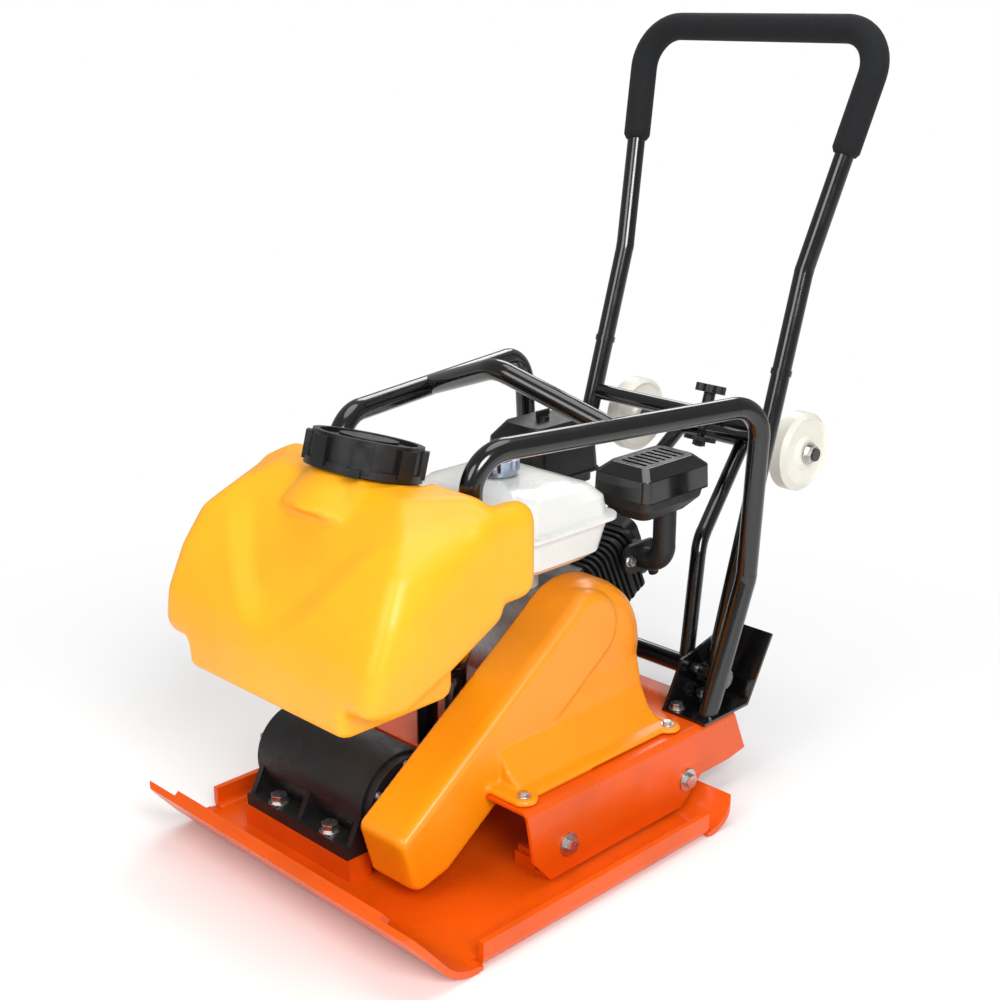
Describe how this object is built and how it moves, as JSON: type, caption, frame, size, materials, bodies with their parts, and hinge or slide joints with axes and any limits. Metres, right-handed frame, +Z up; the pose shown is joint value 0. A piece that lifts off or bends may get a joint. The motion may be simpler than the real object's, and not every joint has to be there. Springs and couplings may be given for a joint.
{
  "type": "plate compactor",
  "caption": "Walk-behind plate compactor: turned-up base plate, belt-driven exciter, small petrol engine, water tank, guard hoops, folding handle and swing-down transport wheels.",
  "frame": {"origin": "on the ground, under the middle of the base plate", "axes": "+X forward to the water tank end, +Y to the belt cover side, +Z up"},
  "size_m": [0.8938, 0.5, 0.9902],
  "materials": {
    "orange_paint": "gloss powder coat",
    "cast_black": "matte black casting",
    "zinc": "zinc plate",
    "bright_steel": "machined",
    "black_rubber": "matte",
    "amber_cover": "satin moulding",
    "cast_alloy": "as cast",
    "black_plastic": "fine grain",
    "black_paint": "gloss powder coat",
    "red_plastic": "gloss",
    "white_enamel": "gloss enamel",
    "fuel_cap_metal": "satin",
    "amber_tank": "satin moulding",
    "grip_foam": "matte foam",
    "white_nylon": "satin nylon"
  },
  "bodies": {
    "chassis": {"base_plate": "orange_paint", "exciter_housing": "cast_black", "exciter_cap_left": "cast_black", "exciter_cap_right": "cast_black", "exciter_cap_bolts": "zinc", "exciter_bolts": "zinc", "exciter_bearings": "bright_steel", "rubber_mounts": "black_rubber", "mount_bolts": "zinc", "mount_nuts": "zinc", "console_deck": "orange_paint", "belt_cover": "amber_cover", "cover_screws": "zinc", "v_belt": "black_rubber", "crankcase": "cast_alloy", "crankcase_cover": "cast_alloy", "crankcase_bolts": "zinc", "engine_bolts": "zinc", "oil_plugs": "black_plastic", "engine_cylinder": "cast_black", "cylinder_head": "cast_black", "valve_cover": "cast_black", "spark_plug": "black_rubber", "exhaust_pipe": "cast_black", "exhaust_nuts": "zinc", "muffler": "cast_black", "muffler_guard": "black_paint", "carburettor": "cast_alloy", "air_cleaner_base": "black_plastic", "air_cleaner_cover": "black_plastic", "fan_shroud": "black_paint", "recoil_cover": "black_paint", "fuel_tank": "white_enamel", "frame_left": "black_paint", "frame_right": "black_paint", "lifting_bar": "black_paint", "tank_bracket": "black_paint", "water_tank": "amber_tank", "rear_bracket_left": "black_paint", "rear_bracket_right": "black_paint", "bracket_bolts": "zinc", "pivot_pin": "zinc"},
    "exciter_rotor": {"eccentric_shaft": "bright_steel", "exciter_pulley": "bright_steel"},
    "crank_group": {"crankshaft": "bright_steel", "clutch_pulley": "bright_steel"},
    "handle_group": {"handle": "black_paint", "foam_grip": "grip_foam"},
    "carriage_group": {"wheel_carriage": "black_paint", "wheel_nuts": "zinc"},
    "wheel_left_body": {"wheel_left": "white_nylon"},
    "wheel_right_body": {"wheel_right": "white_nylon"},
    "knob_group": {"lock_knob": "black_plastic"},
    "fuel_cap_body": {"fuel_cap": "fuel_cap_metal"},
    "water_cap_body": {"water_cap": "black_plastic"},
    "starter_grip_body": {"starter_grip": "black_plastic"},
    "throttle_body": {"throttle_lever": "black_plastic"},
    "choke_body": {"choke_lever": "black_plastic"},
    "fuel_valve_body": {"fuel_valve_lever": "black_plastic"},
    "switch_body": {"engine_switch": "red_plastic"}
  },
  "joints": [
    {"name": "handle_tilt", "type": "hinge", "parent": "chassis", "child": "handle_group", "pos_m": [-0.348, 0, 0.153], "axis": [0, -1, 0], "range_deg": [-8, 24]},
    {"name": "carriage_swing", "type": "hinge", "parent": "handle_group", "child": "carriage_group", "pos_m": [-0.348, 0, 0.153], "axis": [0, -1, 0], "range_deg": [0, 74]},
    {"name": "wheel_left_turn", "type": "hinge", "parent": "carriage_group", "child": "wheel_left_body", "pos_m": [-0.528, 0.143, 0.424], "axis": [0, 1, 0], "continuous": true},
    {"name": "wheel_right_turn", "type": "hinge", "parent": "carriage_group", "child": "wheel_right_body", "pos_m": [-0.528, -0.143, 0.424], "axis": [0, 1, 0], "continuous": true},
    {"name": "lock_knob_turn", "type": "hinge", "parent": "handle_group", "child": "knob_group", "pos_m": [-0.44425, 0.048, 0.47179], "axis": [-0.289, 0, 0.9573], "range_deg": [0, 360]},
    {"name": "exciter_turn", "type": "hinge", "parent": "chassis", "child": "exciter_rotor", "pos_m": [0.09, 0, 0.086], "axis": [0, 1, 0], "continuous": true},
    {"name": "crank_turn", "type": "hinge", "parent": "chassis", "child": "crank_group", "pos_m": [-0.16, 0, 0.222], "axis": [0, 1, 0], "continuous": true},
    {"name": "fuel_cap_turn", "type": "hinge", "parent": "chassis", "child": "fuel_cap_body", "pos_m": [-0.112, -0.018, 0.46], "axis": [0, 0, 1], "range_deg": [0, 90]},
    {"name": "water_cap_turn", "type": "hinge", "parent": "chassis", "child": "water_cap_body", "pos_m": [0.118, 0, 0.506], "axis": [-0.2756, 0, 0.9613], "range_deg": [0, 90]},
    {"name": "starter_pull", "type": "slide", "parent": "chassis", "child": "starter_grip_body", "axis": [-0.5014, -0.6217, 0.6017], "range_m": [0, 0.45], "stiffness_N_per_m": 20, "springref_m": -0.25},
    {"name": "throttle_swing", "type": "hinge", "parent": "chassis", "child": "throttle_body", "pos_m": [-0.32591, -0.1148, 0.31114], "axis": [0, -1, 0], "range_deg": [-25, 25]},
    {"name": "choke_swing", "type": "hinge", "parent": "chassis", "child": "choke_body", "pos_m": [-0.30591, -0.1148, 0.31114], "axis": [0, -1, 0], "range_deg": [0, 50]},
    {"name": "fuel_valve_swing", "type": "hinge", "parent": "chassis", "child": "fuel_valve_body", "pos_m": [-0.30391, -0.1148, 0.29514], "axis": [0, -1, 0], "range_deg": [-60, 0]},
    {"name": "switch_turn", "type": "hinge", "parent": "chassis", "child": "switch_body", "pos_m": [-0.06, -0.094, 0.222], "axis": [1, 0, 0], "range_deg": [0, 60]}
  ],
  "couplings": [
    {"joint": "crank_turn", "follows": "exciter_turn", "ratio": 0.60514}
  ]
}
